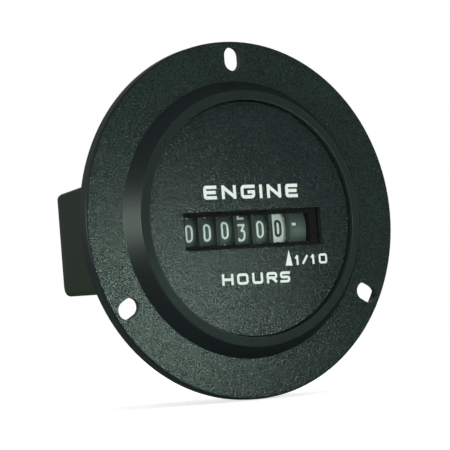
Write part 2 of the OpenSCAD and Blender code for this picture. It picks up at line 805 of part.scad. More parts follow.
module coil_winding() {
    fit = 0.02;
    length = coil_l - 2 * bobbin_flange_t - 2 * fit;
    color("#a4602c") on_coil(bobbin_flange_t + fit) difference() {
        cylinder(r = coil_r - winding_drop, h = length);
        translate([0, 0, -cut]) cylinder(r = barrel_r + fit, h = length + 2 * cut);
    }
}

// Plate that carries the rotor's left pivot on the two posts
module motor_bridge() {
    half_w = shoulder_r + bridge_border;
    half_h = post_offset + shoulder_r;
    color("#e6e2d2") on_shaft(bridge_x, rotor_y) linear_extrude(bridge_t) difference() {
        polygon(round_rect(-half_w, half_w, -half_h, half_h, post_r));
        circle(r = pivot_r + run_gap);
        for (side = [-1, 1])
            translate([0, side * post_offset]) circle(r = stub_r + run_gap);
    }
}

module circuit_board() {
    tail = [blade_t + 2 * board_gap, board_t + 2 * cut, tail_w + 2 * board_gap];
    color("#3f6b3a") difference() {
        translate([-board_half, board_y, board_z0])
            cube([2 * board_half, board_t, board_z1 - board_z0]);
        for (side = [-1, 1])
            translate([side * blade_pitch / 2 - tail.x / 2, board_y - cut, blade_z - tail.z / 2])
                cube(tail);
    }
}

// Place on the front of the circuit board, Z standing out of the board
module on_board(place) {
    half_h = (board_z1 - board_z0) / 2;
    translate([place.x * board_half, board_y, blade_z + place.y * half_h])
        rotate([90, 0, 0]) children();
}

// Flat package with a row of leads along each long side
module timer_chip() {
    lead = [0.4, 1, 0.25];
    lead_lap = 0.1;
    rows = 4;
    color("#1c1e20") on_board(chip_place) {
        translate([-chip_l / 2, -chip_w / 2, lead.z / 2]) cube([chip_l, chip_w, chip_t]);
        for (side = [-1, 1], i = [0:rows - 1])
            translate([(i - (rows - 1) / 2) * chip_pitch - lead.x / 2,
                       side * (chip_w / 2 + lead.y / 2 - lead_lap) - lead.y / 2, 0])
                cube(lead);
    }
}

// Flat can with round ends, on a foot with a brim
module quartz_crystal() {
    foot_t = 0.5;
    straight = crystal_l - crystal_w;
    color("#c9ccce") on_board(crystal_place)
        for (step = [[foot_t, crystal_brim], [crystal_h, 0]])
            linear_extrude(step[0]) {
                square([straight, crystal_w + 2 * step[1]], center = true);
                for (side = [-1, 1])
                    translate([side * straight / 2, 0]) circle(d = crystal_w + 2 * step[1]);
            }
}

// Standing can with a groove rolled in above its foot
module storage_capacitor() {
    base_h = 2 * capacitor_groove;
    groove_top = base_h + capacitor_groove;
    color("#27303a") on_board(capacitor_place) {
        cylinder(r = capacitor_r, h = base_h);
        cylinder(r = capacitor_r - capacitor_groove / 2, h = capacitor_h);
        translate([0, 0, groove_top]) cylinder(r = capacitor_r, h = capacitor_h - groove_top);
    }
}

// Round body lying along the board on two bent leads
module axial_part(r, l) {
    span = l + 2 * lead_run;
    lift = r + part_lift;
    translate([-l / 2, 0, lift]) rotate([0, 90, 0]) cylinder(r = r, h = l);
    translate([-span / 2, 0, lift]) rotate([0, 90, 0]) cylinder(r = lead_r, h = span);
    for (side = [-1, 1])
        translate([side * span / 2, 0, 0]) cylinder(r = lead_r, h = lift + lead_r);
}

module surge_resistor() {
    color("#c9b188") on_board(resistor_place) axial_part(resistor_r, resistor_l);
}

module input_diode() {
    color("#232427") on_board(diode_place) axial_part(diode_r, diode_l);
}

bezel_flange();
face_plate();
window_lens();
rear_case();
terminal_left();
terminal_right();
counter_frame();
wheel_shaft();
pinion_shaft();
idler_pin();
wheel_ten_thousands();
wheel_thousands();
wheel_hundreds();
wheel_tens();
wheel_ones();
wheel_tenths();
run_indicator();
transfer_pinion_1();
transfer_pinion_2();
transfer_pinion_3();
transfer_pinion_4();
transfer_pinion_5();
transfer_pinion_6();
reduction_gear();
rotor_arbor();
rotor_magnet();
stator();
coil_core();
coil_bobbin();
coil_winding();
motor_bridge();
circuit_board();
timer_chip();
quartz_crystal();
storage_capacitor();
surge_resistor();
input_diode();
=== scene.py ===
"""Panel hour meter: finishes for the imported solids, printed figures and legends, camera and studio."""
import json
import math

import bpy
import numpy as np
from mathutils import Matrix, Vector


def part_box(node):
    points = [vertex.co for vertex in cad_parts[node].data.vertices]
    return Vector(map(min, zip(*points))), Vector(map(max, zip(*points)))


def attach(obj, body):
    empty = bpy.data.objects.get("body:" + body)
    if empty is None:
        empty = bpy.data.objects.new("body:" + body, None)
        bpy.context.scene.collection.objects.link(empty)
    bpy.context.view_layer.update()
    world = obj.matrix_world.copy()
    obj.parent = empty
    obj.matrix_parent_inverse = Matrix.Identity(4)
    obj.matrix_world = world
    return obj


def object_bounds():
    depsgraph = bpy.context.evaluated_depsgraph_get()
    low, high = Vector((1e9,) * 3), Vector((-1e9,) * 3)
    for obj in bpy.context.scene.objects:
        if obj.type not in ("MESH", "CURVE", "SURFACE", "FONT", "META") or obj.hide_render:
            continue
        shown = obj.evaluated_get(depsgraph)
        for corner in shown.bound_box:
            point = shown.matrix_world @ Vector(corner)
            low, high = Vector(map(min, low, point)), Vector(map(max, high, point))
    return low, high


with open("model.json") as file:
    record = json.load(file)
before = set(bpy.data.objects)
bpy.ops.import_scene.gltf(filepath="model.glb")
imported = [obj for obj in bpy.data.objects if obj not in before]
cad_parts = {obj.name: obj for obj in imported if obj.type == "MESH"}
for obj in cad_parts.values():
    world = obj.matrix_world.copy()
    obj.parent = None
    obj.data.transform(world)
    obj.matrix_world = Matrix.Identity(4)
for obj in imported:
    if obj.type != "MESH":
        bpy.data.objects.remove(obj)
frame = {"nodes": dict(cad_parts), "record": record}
cad_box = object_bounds()

MM = 0.001


# Meshes

# Points along a line lie about this far apart at most, in millimetres, and each bend has this many.
LINE_STEP, BEND_POINTS = 0.15, 8

# A bend takes up at most this share of a side, so that two bends can share one.
SIDE_SHARE = 0.499

# A corner's mitre reaches out by half the stroke's width divided by this, at most.
MITRE_FLOOR = 0.5

# Ink, in millimetres: its foot under the surface, its top above it, the step in height from one
# stroke of a sign to the next, and the rise along a stroke.
INK_FOOT, INK_TOP, INK_STEP = -0.02, 0.025, 0.008
INK_RISE = 0.7 * INK_STEP


def mesh_piece(name, points, faces, finish, body):
    """A flat-shaded piece at the origin from points in millimetres, riding on one body of the part."""
    mesh = bpy.data.meshes.new(name)
    mesh.from_pydata((points * MM).tolist(), [], faces.tolist())
    mesh.materials.append(finish)
    piece = bpy.data.objects.new(name, mesh)
    bpy.context.collection.objects.link(piece)
    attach(piece, body)


def evenly(line):
    """The same line with points added, so that no two are further apart than about one step."""
    length = np.insert(np.cumsum(np.linalg.norm(np.diff(line, axis=0), axis=1)), 0, 0)
    extra = np.linspace(0, length[-1], max(2, int(length[-1] / LINE_STEP)))
    places = np.unique(np.round(np.concatenate([length, extra]), 4))
    return np.column_stack([np.interp(places, length, line[:, k]) for k in (0, 1)])


def rounded_line(corners, radii, closed):
    """Points of a line with bends. Between the points A and B that lie one radius before and after it,
    a corner P becomes the weighted mean of A, P and B with the weights (1-t)^2, 2t(1-t) times the
    cosine of half the turn, and t^2. Where A and B are equally far from P, that is a circle's arc."""
    radii = np.broadcast_to(radii, len(corners))[:, None]
    before, after = np.roll(corners, 1, 0) - corners, np.roll(corners, -1, 0) - corners
    lengths = [np.linalg.norm(side, axis=1, keepdims=True) for side in (before, after)]
    a, b = (corners + side / length * np.minimum(radii, length * SIDE_SHARE)
            for side, length in zip((before, after), lengths))
    turn = -(before * after).sum(1, keepdims=True) / (lengths[0] * lengths[1])
    t = np.linspace(0, 1, BEND_POINTS)[None, :, None]
    pull = 2 * t * (1 - t) * np.sqrt(np.maximum(0, (1 + turn) / 2))[:, None]
    bends = (1 - t) ** 2 * a[:, None] + pull * corners[:, None] + t ** 2 * b[:, None]
    bends /= (1 - t) ** 2 + pull + t ** 2
    if closed:
        return evenly(np.vstack([bends.reshape(-1, 2), bends[0, :1]]))[:-1]
    return evenly(np.vstack([corners[:1], bends[1:-1].reshape(-1, 2), corners[-1:]]))


def capped(line, reach):
    """The same open line with both ends carried straight on by this reach."""
    ends = line[[0, -1]] - line[[1, -2]]
    ends *= reach / np.linalg.norm(ends, axis=1, keepdims=True)
    return np.vstack([line[:1] + ends[:1], line, line[-1:] + ends[1:]])


def stroke(line, width, closed=False, low=INK_FOOT, high=INK_TOP, rise=0.0):
    """A flat stroke: a rectangle of this width carried along the line, from the height low to the
    height high, plus rise towards its end. Returns points (u, v, height) and faces."""
    if closed:
        ahead, behind = np.roll(line, -1, 0) - line, line - np.roll(line, 1, 0)
    else:
        step = np.diff(line, axis=0)
        ahead, behind = np.vstack([step, step[-1:]]), np.vstack([step[:1], step])
    ahead, behind = (d / np.linalg.norm(d, axis=1, keepdims=True) for d in (ahead, behind))
    along = ahead + behind
    along /= np.linalg.norm(along, axis=1, keepdims=True)
    mitre = 1 / np.maximum((along * ahead).sum(1, keepdims=True), MITRE_FLOOR)
    side = np.column_stack([-along[:, 1], along[:, 0]]) * mitre
    n = len(line)
    half = np.broadcast_to(width / 2, n)[:, None]
    top = high + np.linspace(0, rise, n)
    rows = [np.column_stack([line + sense * half * side, np.broadcast_to(height, n)])
            for sense, height in ((1, low), (1, top), (-1, top), (-1, low))]
    points = np.stack(rows, 1).reshape(-1, 3)
    i, j = np.meshgrid(np.arange(n if closed else n - 1), np.arange(4), indexing="ij")
    i, j = i.ravel(), j.ravel()
    onward, up = (i + 1) % n, (j + 1) % 4
    faces = np.column_stack([4 * i + up, 4 * onward + up, 4 * onward + j, 4 * i + j])
    if not closed:
        faces = np.vstack([faces, [[3, 2, 1, 0]], [[4 * n - 4, 4 * n - 3, 4 * n - 2, 4 * n - 1]]])
    return points, faces


def gather(parts):
    """Several (points, faces) pairs as one."""
    offsets = np.cumsum([0] + [len(points) for points, _ in parts[:-1]])
    return (np.vstack([points for points, _ in parts]),
            np.vstack([faces + offset for (_, faces), offset in zip(parts, offsets)]))


def on_face(flat, y):
    """Lay flat points (u, v, height) on the face: u to the right, v up, height towards the viewer."""
    return np.column_stack([flat[:, 0], y - flat[:, 2], flat[:, 1]])


def on_drum(flat, axle, radius, turn):
    """Wrap flat points (u, v, height) round a drum: v becomes the angle v / radius above the front,
    plus turn in radians, and height adds to the radius."""
    angle = flat[:, 1] / radius + turn
    reach = radius + flat[:, 2]
    return np.column_stack([flat[:, 0], axle[0] - reach * np.cos(angle), axle[1] + reach * np.sin(angle)])


# Signs. Each is drawn with strokes in a box one wide and one high. A stroke is its corners, the
# radius of its bends as a share of the box's width, and True for a closed line.

BEND = 0.62


def bar(*ends):
    """A straight stroke."""
    return ends, 0, False


def bent(corners, radii):
    """An open stroke with bends: one radius for all corners, or one each. Its ends have none."""
    return corners, radii, False


def loop(corners, radius):
    """A closed stroke."""
    return corners, radius, True


SIGNS = {
    "0": [loop([(0, 0), (1, 0), (1, 1), (0, 1)], BEND)],
    "1": [bar((0.55, 0), (0.55, 0.96)), bar((0.12, 0.79), (0.5, 0.95))],
    "2": [bent([(0, 0.83), (0, 1), (1, 1), (1, 0.62), (0.08, 0.05)], BEND), bar((0, 0), (1, 0))],
    "3": [bar((0, 1), (0.95, 1)), bar((0.88, 0.93), (0.5, 0.66)),
          bent([(0.48, 0.62), (1, 0.62), (1, 0), (0, 0), (0, 0.1)], BEND)],
    "4": [bar((0.74, 0), (0.74, 0.95)), bar((0.7, 0.96), (0.06, 0.36)), bar((0, 0.3), (1, 0.3))],
    "5": [bar((0.95, 1), (0.1, 1)), bar((0.07, 0.97), (0.04, 0.62)),
          bent([(0.1, 0.6), (1, 0.64), (1, 0), (0, 0), (0, 0.1)], BEND)],
    "6": [bent([(0.9, 1), (0, 0.8), (0, 0), (1, 0), (1, 0.58), (0.1, 0.58)],
               [0, 0.9, BEND, BEND, BEND, 0])],
    "7": [bar((0, 1), (1, 1)), bar((0.97, 0.96), (0.36, 0))],
    "8": [loop([(0, 0), (1, 0), (1, 0.54), (0, 0.54)], BEND),
          loop([(0.08, 0.54), (0.92, 0.54), (0.92, 1), (0.08, 1)], 0.5)],
    "9": [bent([(0.55, 0.12), (1, 0.5), (1, 1), (0, 1), (0, 0.42), (0.9, 0.42)],
               [0, 0.5, BEND, BEND, BEND, 0])],
    "/": [bar((0.1, 0.08), (0.9, 0.92))],
    "E": [bent([(1, 1), (0, 1), (0, 0), (1, 0)], 0.15), bar((0.1, 0.5), (0.9, 0.5))],
    "G": [bent([(1, 1), (0, 1), (0, 0), (1, 0), (1, 0.48)], 0.2), bar((0.6, 0.48), (0.95, 0.48))],
    "H": [bar((0, 0), (0, 1)), bar((1, 0), (1, 1)), bar((0.05, 0.5), (0.95, 0.5))],
    "I": [bar((0.5, 0), (0.5, 1))],
    "N": [bar((0, 0), (0, 1)), bar((1, 0), (1, 1)), bar((0.06, 0.94), (0.94, 0.06))],
    "O": [loop([(0, 0), (1, 0), (1, 1), (0, 1)], 0.2)],
    "R": [bent([(0, 0), (0, 1), (1, 1), (1, 0.48), (0.1, 0.48)], [0, 0.14, 0.2, 0.2, 0]),
          bar((0.5, 0.48), (0.94, 0.06))],
    "S": [bent([(1, 1), (0, 1), (0, 0.5), (1, 0.5), (1, 0), (0, 0)], 0.2)],
    "U": [bent([(0, 1), (0, 0), (1, 0), (1, 1)], 0.2)],
}


def sign(mark, left, foot, width, height, weight):
    """One sign in ink, with its outside box at (left, foot), in millimetres. Each stroke lies a few
    micrometres above the one before, and open ones rise on their way, so that tops share no plane."""
    scale, shift = np.array([width - weight, height - weight]), np.array([left, foot]) + weight / 2
    parts = []
    for layer, (corners, radii, closed) in enumerate(SIGNS[mark]):
        line = rounded_line(np.array(corners) * scale + shift, np.array(radii) * scale[0], closed)
        top = INK_TOP + layer * INK_STEP
        if closed:
            parts.append(stroke(line, weight, closed, high=top))
        else:
            parts.append(stroke(capped(line, weight / 2), weight, high=top, rise=INK_RISE))
    return gather(parts)


# Finishes

def linear(code):
    """Linear RGBA of an sRGB hex colour."""
    srgb = np.array([int(code[i:i + 2], 16) for i in (1, 3, 5)]) / 255
    rgb = np.where(srgb <= 0.04045, srgb / 12.92, ((srgb + 0.055) / 1.055) ** 2.4)
    return (*rgb.tolist(), 1.0)


def add(tree, kind, inputs=None, **settings):
    """Add one shader node: settings are its properties, inputs are values or sockets to link."""
    made = tree.nodes.new("ShaderNode" + kind)
    for key, value in settings.items():
        setattr(made, key, value)
    for key, value in (inputs or {}).items():
        if isinstance(value, bpy.types.NodeSocket):
            tree.links.new(value, made.inputs[key])
        else:
            made.inputs[key].default_value = value
    return made


def new_finish(name, **sockets):
    """An empty finish: its material, node tree, Object coordinates and shader."""
    finish = bpy.data.materials.new(name)
    finish.use_nodes = True
    tree = finish.node_tree
    shader = tree.nodes["Principled BSDF"]
    for key, value in sockets.items():
        shader.inputs[key.replace("_", " ")].default_value = value
    return finish, tree, add(tree, "TexCoord").outputs["Object"], shader


def tinted(tree, factor, dark, light, low=0.3, high=0.7):
    """Colour from dark to light as the factor goes from low to high."""
    ramp = add(tree, "ValToRGB", {"Fac": factor})
    for stop, place, code in zip(ramp.color_ramp.elements, (low, high), (dark, light)):
        stop.position = place
        stop.color = linear(code)
    return ramp.outputs["Color"]


def dress(tree, shader, colour, roughness, bump):
    """Link a finish's colour, roughness and bump to its shader."""
    tree.links.new(colour, shader.inputs["Base Color"])
    tree.links.new(roughness.outputs["Result"], shader.inputs["Roughness"])
    tree.links.new(bump.outputs["Normal"], shader.inputs["Normal"])


# Spark-eroded grain, in millimetres: distance and depth of the pits, and size of the patches in which
# it is weaker or stronger. Real pits are finer: these are as coarse as they need to be to show.
PIT, PIT_DEPTH, PATCH = 0.26, 0.062, 9.0
PATCH_WEAK, PATCH_STRONG = 0.85, 1.15

# The noise levels at which the skin is darkest and lightest, and the one that satin skin tends to; the
# roughness of pitted and of smooth skin; the share of the pits' depth left on smooth skin, and how far
# satin skin is on the way to smooth.
# Pitted skin is painted paler than smooth skin, and palest on the pits' peaks: painted sheen and painted
# light on the grain.
PIT_DARK, PIT_LIGHT, PIT_MIDDLE = 0.38, 0.64, 0.5
PIT_ROUGHNESS, SMOOTH_ROUGHNESS = 0.17, 0.38
SMOOTH_BUMP, SATIN_SHARE = 0.08, 0.5
POLISHED_TONE = "#111b1c"


def grained_abs(name, dark, light, polished=(), satin=()):
    """ABS moulded in a spark-eroded tool: a finely pitted skin, which breaks a reflection into glints. Its
    colour is painted paler than smooth skin and palest on the peaks: painted sheen and painted light on
    the grain. Between the radii in satin, in millimetres, the tool was only brushed, so the skin is more
    even; between those in polished it was smooth, and the skin is dark."""
    finish, tree, place, shader = new_finish(name, IOR=1.5)
    across = add(tree, "VectorMath", {0: place, 1: (1, 0, 1)}, operation="MULTIPLY")
    radius = add(tree, "VectorMath", {0: across.outputs[0]}, operation="LENGTH").outputs["Value"]

    def within(bands):
        """1 where the radius lies in one of the bands, else 0."""
        inside = 0.0
        for low, high in bands:
            band = add(tree, "Math", {0: radius, 1: (low + high) / 2 * MM, 2: (high - low) / 2 * MM},
                       operation="COMPARE").outputs[0]
            inside = add(tree, "Math", {0: inside, 1: band}, operation="MAXIMUM").outputs[0]
        return inside

    bare = within(polished)
    quiet = add(tree, "Math", {0: within(satin), 1: SATIN_SHARE}, operation="MULTIPLY").outputs[0]
    smooth = add(tree, "Math", {0: bare, 1: quiet}, operation="MAXIMUM").outputs[0]
    pits = add(tree, "TexNoise", {"Vector": place, "Scale": 1 / (PIT * MM), "Detail": 1.0,
                                  "Roughness": 0.6}).outputs["Fac"]
    patches = add(tree, "TexNoise", {"Vector": place, "Scale": 1 / (PATCH * MM), "Detail": 2.0})
    strength = add(tree, "MapRange", {"Value": patches.outputs["Fac"], "To Min": PATCH_WEAK,
                                      "To Max": PATCH_STRONG})
    grain = add(tree, "Math", {0: pits, 1: strength.outputs["Result"]}, operation="MULTIPLY")
    even = add(tree, "Mix", {"Factor": quiet, "A": grain.outputs[0], "B": PIT_MIDDLE})
    # Painted sheen: the grained skin's colour runs paler than the smooth tone, palest on the peaks.
    pitted_with_painted_sheen = tinted(tree, even.outputs["Result"], dark, light, PIT_DARK, PIT_LIGHT)
    skin = add(tree, "Mix", {"Factor": bare, "A": pitted_with_painted_sheen, "B": linear(POLISHED_TONE)}, data_type="RGBA")
    roughness = add(tree, "MapRange", {"Value": smooth, "To Min": PIT_ROUGHNESS,
                                       "To Max": SMOOTH_ROUGHNESS})
    depth = add(tree, "MapRange", {"Value": smooth, "To Min": 1.0, "To Max": SMOOTH_BUMP})
    bump = add(tree, "Bump", {"Strength": depth.outputs["Result"], "Distance": PIT_DEPTH * MM,
                              "Height": pits})
    dress(tree, shader, skin.outputs["Result"], roughness, bump)
    return finish


# How far flow marks change a moulded plastic's roughness, up and down.
FLOW_SPREAD = 0.06


def moulded(name, dark, light, roughness, mottle, ripple=0.004, **sockets):
    """A plain moulded plastic: faint flow marks (mottle, in millimetres) change its tone and gloss a
    little, and a shallow ripple (its depth in millimetres) keeps reflections from being dead straight."""
    finish, tree, place, shader = new_finish(name, **sockets)
    flow = add(tree, "TexNoise", {"Vector": place, "Scale": 1 / (mottle * MM),
                                  "Detail": 3.0}).outputs["Fac"]
    varied = add(tree, "MapRange", {"Value": flow, "To Min": roughness - FLOW_SPREAD,
                                    "To Max": roughness + FLOW_SPREAD})
    bump = add(tree, "Bump", {"Strength": 1.0, "Distance": ripple * MM, "Height": flow})
    dress(tree, shader, tinted(tree, flow, dark, light), varied, bump)
    return finish


# How far the lines change a metal's roughness, up and down, their depth in millimetres, the share of it
# that the bump takes, and how metallic the shader is: less than fully, so that metals stay readable in
# a dim room.
LAY_SPREAD, LAY_DEPTH, LAY_BUMP, METALLIC = 0.08, 0.004, 0.6, 0.6


def metal(name, dark, light, roughness, lay, line=0.15):
    """A matt metal with a lay: noise stretched along the working direction draws fine lines of this
    width in millimetres, which change the tone and the gloss."""
    finish, tree, place, shader = new_finish(name, Metallic=METALLIC)
    drawn = add(tree, "Mapping", {"Vector": place, "Scale": lay}).outputs["Vector"]
    lines = add(tree, "TexNoise", {"Vector": drawn, "Scale": 1 / (line * MM),
                                   "Detail": 2.0}).outputs["Fac"]
    varied = add(tree, "MapRange", {"Value": lines, "To Min": roughness - LAY_SPREAD,
                                    "To Max": roughness + LAY_SPREAD})
    bump = add(tree, "Bump", {"Strength": LAY_BUMP, "Distance": LAY_DEPTH * MM, "Height": lines})
    dress(tree, shader, tinted(tree, lines, dark, light), varied, bump)
    return finish


def clear_acrylic(name):
    """Cast acrylic, polished: clear, with a sharp reflection and hardly any tint. Shadow rays pass,
    so that the wheels behind the pane are lit."""
    finish, tree, _, shader = new_finish(name, Roughness=0.03, IOR=1.49, Transmission_Weight=1.0)
    shader.inputs["Base Color"].default_value = linear("#ffffff")
    light = add(tree, "LightPath")
    passing = add(tree, "BsdfTransparent", {"Color": linear("#f6f8f7")})
    mixed = add(tree, "MixShader", {0: light.outputs["Is Shadow Ray"], 1: shader.outputs["BSDF"],
                                    2: passing.outputs["BSDF"]})
    tree.links.new(mixed.outputs[0], tree.nodes["Material Output"].inputs["Surface"])
    return finish


# Radii of the bezel's bands, in millimetres: the lip, the slope below it and the flange's edge.
LIP, SLOPE, EDGE = (23.3, 25.35), (25.35, 27.45), (35.2, 36.0)

FINISHES = {
    # Black ABS with an eroded grain, its skin painted paler as painted sheen: it glitters, with a quiet
    # lip, a dark slope and a dark edge.
    "bezel_plastic": grained_abs("moulded_ABS_spark_eroded_bezel", "#16211d", "#273530",
                                 polished=(SLOPE, EDGE), satin=(LIP,)),
    # The same grain and painted sheen all over, a shade darker.
    "face_plastic": grained_abs("moulded_ABS_spark_eroded_face", "#141e1d", "#23302e"),
    # A polished pane: only its reflection shows.
    "clear_plastic": clear_acrylic("clear_acrylic"),
    # Black ABS from a plain tool: an even green-black with a soft sheen.
    "case_plastic": moulded("moulded_ABS_smooth_case", "#0a1c08", "#0e220b", 0.4, 6.0, IOR=1.54),
    # Tin over rolled brass: pale grey, with faint lines along the blade.
    "tinned_brass": metal("tinned_brass", "#a9a699", "#c6c3b6", 0.36, lay=(1, 0.06, 1)),
    # Black ABS, matt: it returns next to no light, so the slot looks deep.
    "frame_plastic": moulded("moulded_ABS_matt_mask", "#040606", "#070a0a", 0.85, 3.0, IOR=1.3),
    # Ground steel: bright, with fine lines along the pin.
    "steel_pin": metal("ground_steel", "#9fa1a2", "#c3c5c6", 0.3, lay=(0.08, 1, 1)),
    # Acetal, black, white or natural: waxy, with a soft sheen.
    "black_wheel_plastic": moulded("moulded_black_acetal", "#40504a", "#485851", 0.5, 0.8, IOR=1.48),
    "white_wheel_plastic": moulded("moulded_white_acetal", "#eef2ec", "#f6f8f4", 0.42, 0.8, IOR=1.48),
    "pinion_plastic": moulded("natural_acetal_pinions", "#d2ccb2", "#ddd8c2", 0.4, 0.8, IOR=1.48),
    "gear_plastic": moulded("natural_acetal_gears", "#e0dccb", "#eae6d8", 0.4, 0.8, IOR=1.48),
    # Sintered ferrite: dull grey and finely speckled.
    "magnet": moulded("sintered_ferrite", "#4a4d4f", "#6b6e70", 0.55, 0.3, ripple=0.01),
    # Annealed steel sheet: mid grey, with lines from rolling.
    "stator_steel": metal("annealed_silicon_steel", "#82878a", "#a3a8aa", 0.45, lay=(1, 1, 0.1)),
    # Nylon: plain green with a soft sheen.
    "bobbin_plastic": moulded("moulded_green_nylon", "#28523f", "#32624c", 0.45, 1.0, IOR=1.53),
    # Enamelled copper: warm brown to orange, in fine lines.
    "copper_wire": metal("enamelled_copper_wire", "#8f4f20", "#c07a3c", 0.3, lay=(0.15, 0.15, 1),
                         line=0.2),
    # Glass laminate under solder mask: green and glossy, a little uneven.
    "board_laminate": moulded("glass_laminate_with_solder_mask", "#386233", "#447440", 0.28, 0.7,
                              ripple=0.006),
    # Moulded epoxy: dull black and finely speckled.
    "chip_epoxy": moulded("moulded_epoxy", "#191b1d", "#232527", 0.55, 0.3, ripple=0.01),
    # Nickel plate on a drawn can: the brightest metal here.
    "metal_can": metal("nickel_plated_can", "#b4b7b9", "#d2d5d7", 0.25, lay=(1, 1, 1), line=0.6),
    # Shrink sleeve: dark blue and glossy.
    "capacitor_sleeve": moulded("shrink_sleeve", "#202833", "#2b3541", 0.25, 2.0),
    # Baked lacquer: tan, with a soft gloss.
    "resistor_coat": moulded("lacquer", "#bfa67c", "#cfb890", 0.35, 0.8),
}

# Pad-printing inks, thin and slightly uneven: pale for the face, whiter for the black wheels' figures
# and black for the white wheel's.
pale_ink = moulded("pale_pad_printing_ink", "#dbe5de", "#ecf3ee", 0.45, 0.5, ripple=0.006)
figure_ink = moulded("grey_white_figure_ink", "#eef4f1", "#f6faf8", 0.45, 0.5, ripple=0.006)
black_ink = moulded("black_pad_printing_ink", "#15191a", "#1f2425", 0.4, 0.5, ripple=0.006)

# Grey-black ABS, matt: a little darker than the black wheels, so that the strips don't stand out.
strip_plastic = moulded("moulded_ABS_mask_strips", "#29352f", "#303c36", 0.6, 1.0, IOR=1.4)

for part in frame["record"]["subparts"]:
    for material_slot in frame["nodes"][part["node"]].material_slots:
        material_slot.material = FINISHES[part["material_slot"]]


# Figures on the wheels. Each wheel shows one figure at rest, a little off line as on a real counter:
# the figure, its angle above the middle of the window in degrees, and its place right of the rim's
# left edge in millimetres.

WHEELS = {
    "wheel_ten_thousands": (0, -1.8, 0.22),
    "wheel_thousands": (0, -1.5, 0.22),
    "wheel_hundreds": (0, 0.8, 0.22),
    "wheel_tens": (3, -4.2, 0.0),
    "wheel_ones": (0, -0.2, 0.22),
    "wheel_tenths": (0, 0.0, 0.35),
}

# A wheel's rim and the gear beside it, then a figure's width, height and stroke, in millimetres; the
# figures on a wheel, and the degrees from one to the next.
RIM_W, GEAR_W = 3.0, 0.475
FIGURE_W, FIGURE_H = 1.7, 3.5
FIGURE_WEIGHT, BLACK_FIGURE_WEIGHT = 0.44, 0.56
FIGURES, FIGURE_STEP = 10, 36


def drum(box):
    """From a wheel's box: both ends along X, its axle's place (y, z) and its radius, in millimetres."""
    low, high = (np.array(corner) / MM for corner in box)
    return low[0], high[0], (low + high)[1:] / 2, (high - low)[2] / 2


for wheel, (shown, raised, inset) in WHEELS.items():
    _, wheel_end, axle, radius = drum(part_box(wheel))
    left = wheel_end - GEAR_W - RIM_W + inset
    white = wheel == "wheel_tenths"
    weight = BLACK_FIGURE_WEIGHT if white else FIGURE_WEIGHT
    ring = []
    for figure in range(FIGURES):
        flat, faces = sign(str(figure), left, -FIGURE_H / 2, FIGURE_W, FIGURE_H, weight)
        turn = math.radians(raised - FIGURE_STEP * (figure - shown))
        ring.append((on_drum(flat, axle, radius, turn), faces))
    points, faces = gather(ring)
    mesh_piece("figures_" + wheel, points, faces, black_ink if white else figure_ink, wheel)


# Dashes on the run indicator, one for each figure's step: their middle from the rim's left edge,
# width and height in millimetres, and the first one's angle above the middle of the window.

DASH_MIDDLE, DASH_W, DASH_H, DASH_RAISED = 0.95, 0.92, 0.55, 5.8

drum_start, _, axle, radius = drum(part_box("run_indicator"))
dash_x = drum_start + GEAR_W + DASH_MIDDLE
flat, faces = stroke(np.array([[dash_x - DASH_W / 2, 0.0], [dash_x + DASH_W / 2, 0.0]]), DASH_H)
turns = [math.radians(DASH_RAISED + FIGURE_STEP * k) for k in range(FIGURES)]
points, faces = gather([(on_drum(flat, axle, radius, turn), faces) for turn in turns])
mesh_piece("dashes_run_indicator", points, faces, pale_ink, "run_indicator")


# Strips across the mask's slot, in its thickness, which hide the gears between the rims. Each is a
# rectangle carried straight up, a little left of the middle of its gap.

WHEEL_PITCH = 4.1
STRIP_W, STRIP_H, STRIP_SHIFT = 0.8, 5.9, -0.4
STRIP_BACK, STRIP_FRONT = -0.5, -0.2

mask_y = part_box("counter_frame")[0].y / MM
first_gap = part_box("wheel_thousands")[0].x / MM + GEAR_W - (WHEEL_PITCH - RIM_W) / 2 + STRIP_SHIFT
strips = []
for k in range(len(WHEELS)):
    x = first_gap + k * WHEEL_PITCH
    upright_line = np.array([[x, axle[1] - STRIP_H / 2], [x, axle[1] + STRIP_H / 2]])
    strips.append(stroke(upright_line, STRIP_W, low=STRIP_BACK, high=STRIP_FRONT))
flat, faces = gather(strips)
mesh_piece("mask_strips", on_face(flat, mask_y), faces, strip_plastic, "housing")


# Legends on the face, in millimetres: foot, height, stroke and lean in degrees, then each sign with its
# left edge and width. The pointer is one stroke that narrows from its foot to its tip.

LEGENDS = [
    (3.93, 2.7, 0.66, -0.6, [("E", -10.55, 3.0), ("N", -6.4, 3.3), ("G", -2.0, 3.3), ("I", 2.35, 0.66),
                             ("N", 4.1, 3.3), ("E", 8.45, 2.9)]),
    (-12.95, 2.2, 0.52, -0.7, [("H", -7.9, 2.6), ("O", -4.45, 2.6), ("U", -0.95, 2.5), ("R", 2.4, 2.5),
                               ("S", 5.55, 2.35)]),
    (-9.7, 2.0, 0.44, 0.0, [("1", 9.35, 1.15), ("/", 11.0, 1.6), ("1", 13.15, 1.15), ("O", 15.1, 2.0)]),
]
POINTER_FOOT, POINTER_TIP = (7.93, -9.73), (8.07, -6.66)
POINTER_FOOT_W, POINTER_TIP_W = 1.65, 0.02
FACE_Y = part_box("face_plate")[0].y / MM


def leaning(flat, middle, degrees):
    """Turn flat points about the height v = middle on the face's upright, anticlockwise."""
    centre, angle = np.array([0, middle, 0]), math.radians(degrees)
    cosine, sine = math.cos(angle), math.sin(angle)
    return (flat - centre) @ np.array([[cosine, sine, 0], [-sine, cosine, 0], [0, 0, 1]]) + centre


